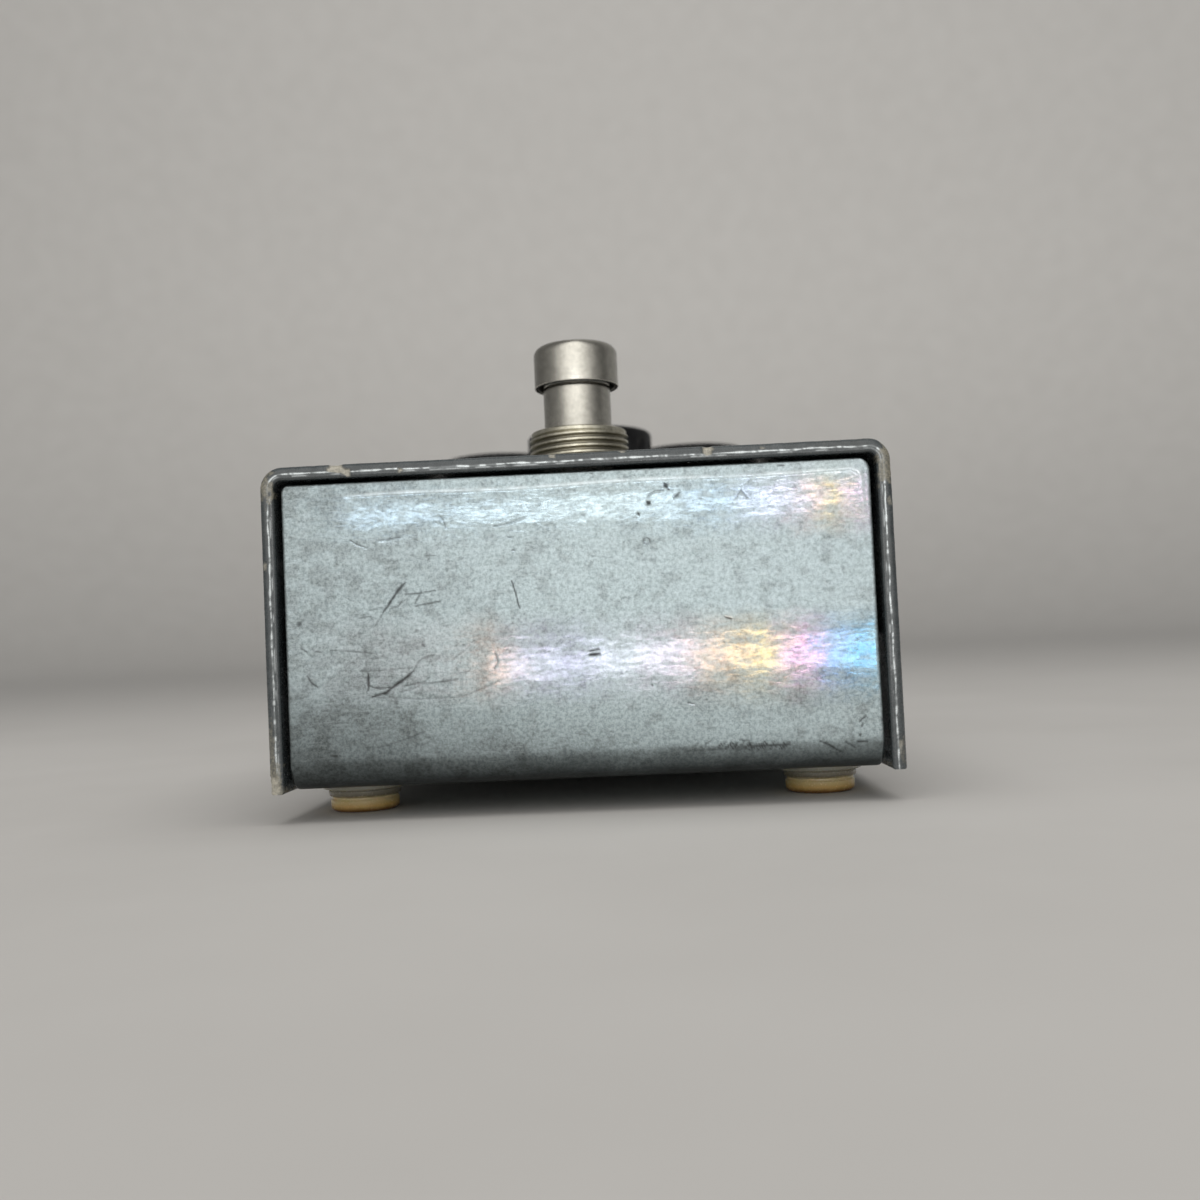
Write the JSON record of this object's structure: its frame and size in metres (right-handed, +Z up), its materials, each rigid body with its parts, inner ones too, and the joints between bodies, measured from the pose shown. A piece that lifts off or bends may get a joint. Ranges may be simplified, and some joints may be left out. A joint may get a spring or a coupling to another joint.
{
  "type": "guitar effects pedal",
  "caption": "Stompbox sustain (compressor) pedal: folded sheet-metal case with a push footswitch, rotary controls, side jacks, a power inlet, an indicator lamp and stepped feet.",
  "frame": {"origin": "centre of the footprint, on the floor under the feet", "axes": "+Z up, -Y towards the player (the footswitch end), +X to the input jack side"},
  "size_m": [0.0736, 0.1112, 0.0535],
  "materials": {
    "cover_paint": "slate grey paint on steel, worn to the metal along its edges",
    "tray_plate": "bright zinc plate under a clear coat, faint rainbow tint, scratched",
    "zinc_hardware": "satin zinc",
    "nickel": "satin nickel, slightly warm",
    "nickel_satin": "turned steel with a satin nickel finish",
    "foot_elastomer": "translucent, ambered with age",
    "blue_plastic": "moulded thermoset, semi gloss",
    "spring_steel": "bright drawn wire",
    "ivory_plastic": "moulded nylon",
    "contact_metal": "stamped brass, lightly tarnished",
    "tinned_metal": "tin plated",
    "phenolic": "pressed phenolic paper, sanded edges",
    "shaft_aluminium": "turned aluminium",
    "knob_black": "moulded black, satin",
    "brass": "turned brass",
    "blackened_steel": "blackened steel",
    "led_red": "clear tinted resin",
    "bezel_chrome": "polished",
    "black_plastic": "moulded black",
    "board_green": "solder mask over glass laminate",
    "chip_black": "moulded epoxy",
    "capacitor_blue": "sleeved cans and dipped films",
    "resistor_tan": "coated film resistors",
    "battery_jacket": "plain dark jacket",
    "snap_vinyl": "soft vinyl",
    "lead_red": "insulated wire",
    "foam": "closed-cell foam",
    "wire_white": "insulated wire"
  },
  "bodies": {
    "case": {"cover": "cover_paint", "base_tray": "tray_plate", "clinch_nuts": "zinc_hardware", "cover_screws": "blackened_steel", "rubber_feet": "foot_elastomer", "footswitch_bushing": "nickel", "footswitch_frame": "zinc_hardware", "footswitch_housing": "blue_plastic", "footswitch_spring": "spring_steel", "footswitch_lugs": "tinned_metal", "footswitch_outer_nut": "nickel", "footswitch_inner_nut": "nickel", "footswitch_lock_washer": "spring_steel", "pot_cans": "zinc_hardware", "pot_bushings": "nickel", "pot_tracks": "phenolic", "pot_terminals": "tinned_metal", "pot_nuts": "nickel", "pot_washers": "nickel", "led_lens": "led_red", "led_bezel": "bezel_chrome", "input_jack_bushing": "nickel", "input_jack_insulators": "phenolic", "input_jack_terminals": "tinned_metal", "output_jack_bushing": "nickel", "output_jack_insulators": "phenolic", "output_jack_terminals": "tinned_metal", "jack_nuts": "nickel", "jack_washers": "nickel", "power_jack_body": "black_plastic", "power_jack_contacts": "nickel", "power_jack_nut": "black_plastic", "circuit_board": "board_green", "board_chips": "chip_black", "board_capacitors": "capacitor_blue", "board_resistors": "resistor_tan", "battery": "battery_jacket", "battery_snap": "snap_vinyl", "battery_leads": "lead_red", "battery_foam": "foam", "hookup_wires": "wire_white"},
    "plunger": {"footswitch_stem": "nickel_satin", "footswitch_cap": "nickel_satin"},
    "rocker": {"footswitch_rocker": "ivory_plastic", "footswitch_blades": "contact_metal"},
    "input_tip_leaf": {"input_tip_spring": "tinned_metal"},
    "input_ring_leaf": {"input_ring_spring": "tinned_metal"},
    "output_tip_leaf": {"output_tip_spring": "tinned_metal"},
    "sustain_control": {"sustain_shaft": "shaft_aluminium", "sustain_knob": "knob_black", "sustain_knob_insert": "brass", "sustain_set_screw": "blackened_steel"},
    "level_control": {"level_shaft": "shaft_aluminium", "level_knob": "knob_black", "level_knob_insert": "brass", "level_set_screw": "blackened_steel"},
    "attack_control": {"attack_shaft": "shaft_aluminium", "attack_knob": "knob_black", "attack_knob_insert": "brass", "attack_set_screw": "blackened_steel"}
  },
  "joints": [
    {"name": "plunger_press", "type": "slide", "parent": "case", "child": "plunger", "axis": [0, 0, -1], "range_m": [0, 0.0035], "stiffness_N_per_m": 900, "springref_m": -0.0005, "deforming": ["footswitch_spring"]},
    {"name": "rocker_throw", "type": "hinge", "parent": "case", "child": "rocker", "pos_m": [0, -0.03565, 0.0214], "axis": [1, 0, 0], "range_deg": [0, 14]},
    {"name": "sustain_turn", "type": "hinge", "parent": "case", "child": "sustain_control", "pos_m": [0, 0.00505, 0.0355], "axis": [0, 0, -1], "range_deg": [-150, 150]},
    {"name": "level_turn", "type": "hinge", "parent": "case", "child": "level_control", "pos_m": [-0.0162, 0.02535, 0.0355], "axis": [0, 0, -1], "range_deg": [-150, 150]},
    {"name": "attack_turn", "type": "hinge", "parent": "case", "child": "attack_control", "pos_m": [0.0162, 0.02535, 0.0355], "axis": [0, 0, -1], "range_deg": [-150, 150]},
    {"name": "input_tip_flex", "type": "hinge", "parent": "case", "child": "input_tip_leaf", "pos_m": [0.01805, 0.02535, 0.0076], "axis": [0, -1, 0], "range_deg": [0, 8], "stiffness_Nm_per_rad": 0.02},
    {"name": "input_ring_flex", "type": "hinge", "parent": "case", "child": "input_ring_leaf", "pos_m": [0.01805, 0.02535, 0.0188], "axis": [0, 1, 0], "range_deg": [0, 6], "stiffness_Nm_per_rad": 0.02},
    {"name": "output_tip_flex", "type": "hinge", "parent": "case", "child": "output_tip_leaf", "pos_m": [-0.01805, 0.02535, 0.0076], "axis": [0, 1, 0], "range_deg": [0, 8], "stiffness_Nm_per_rad": 0.02}
  ],
  "couplings": [
    {"joint": "rocker_throw", "follows": "plunger_press", "rad_per_m": 69.8}
  ]
}
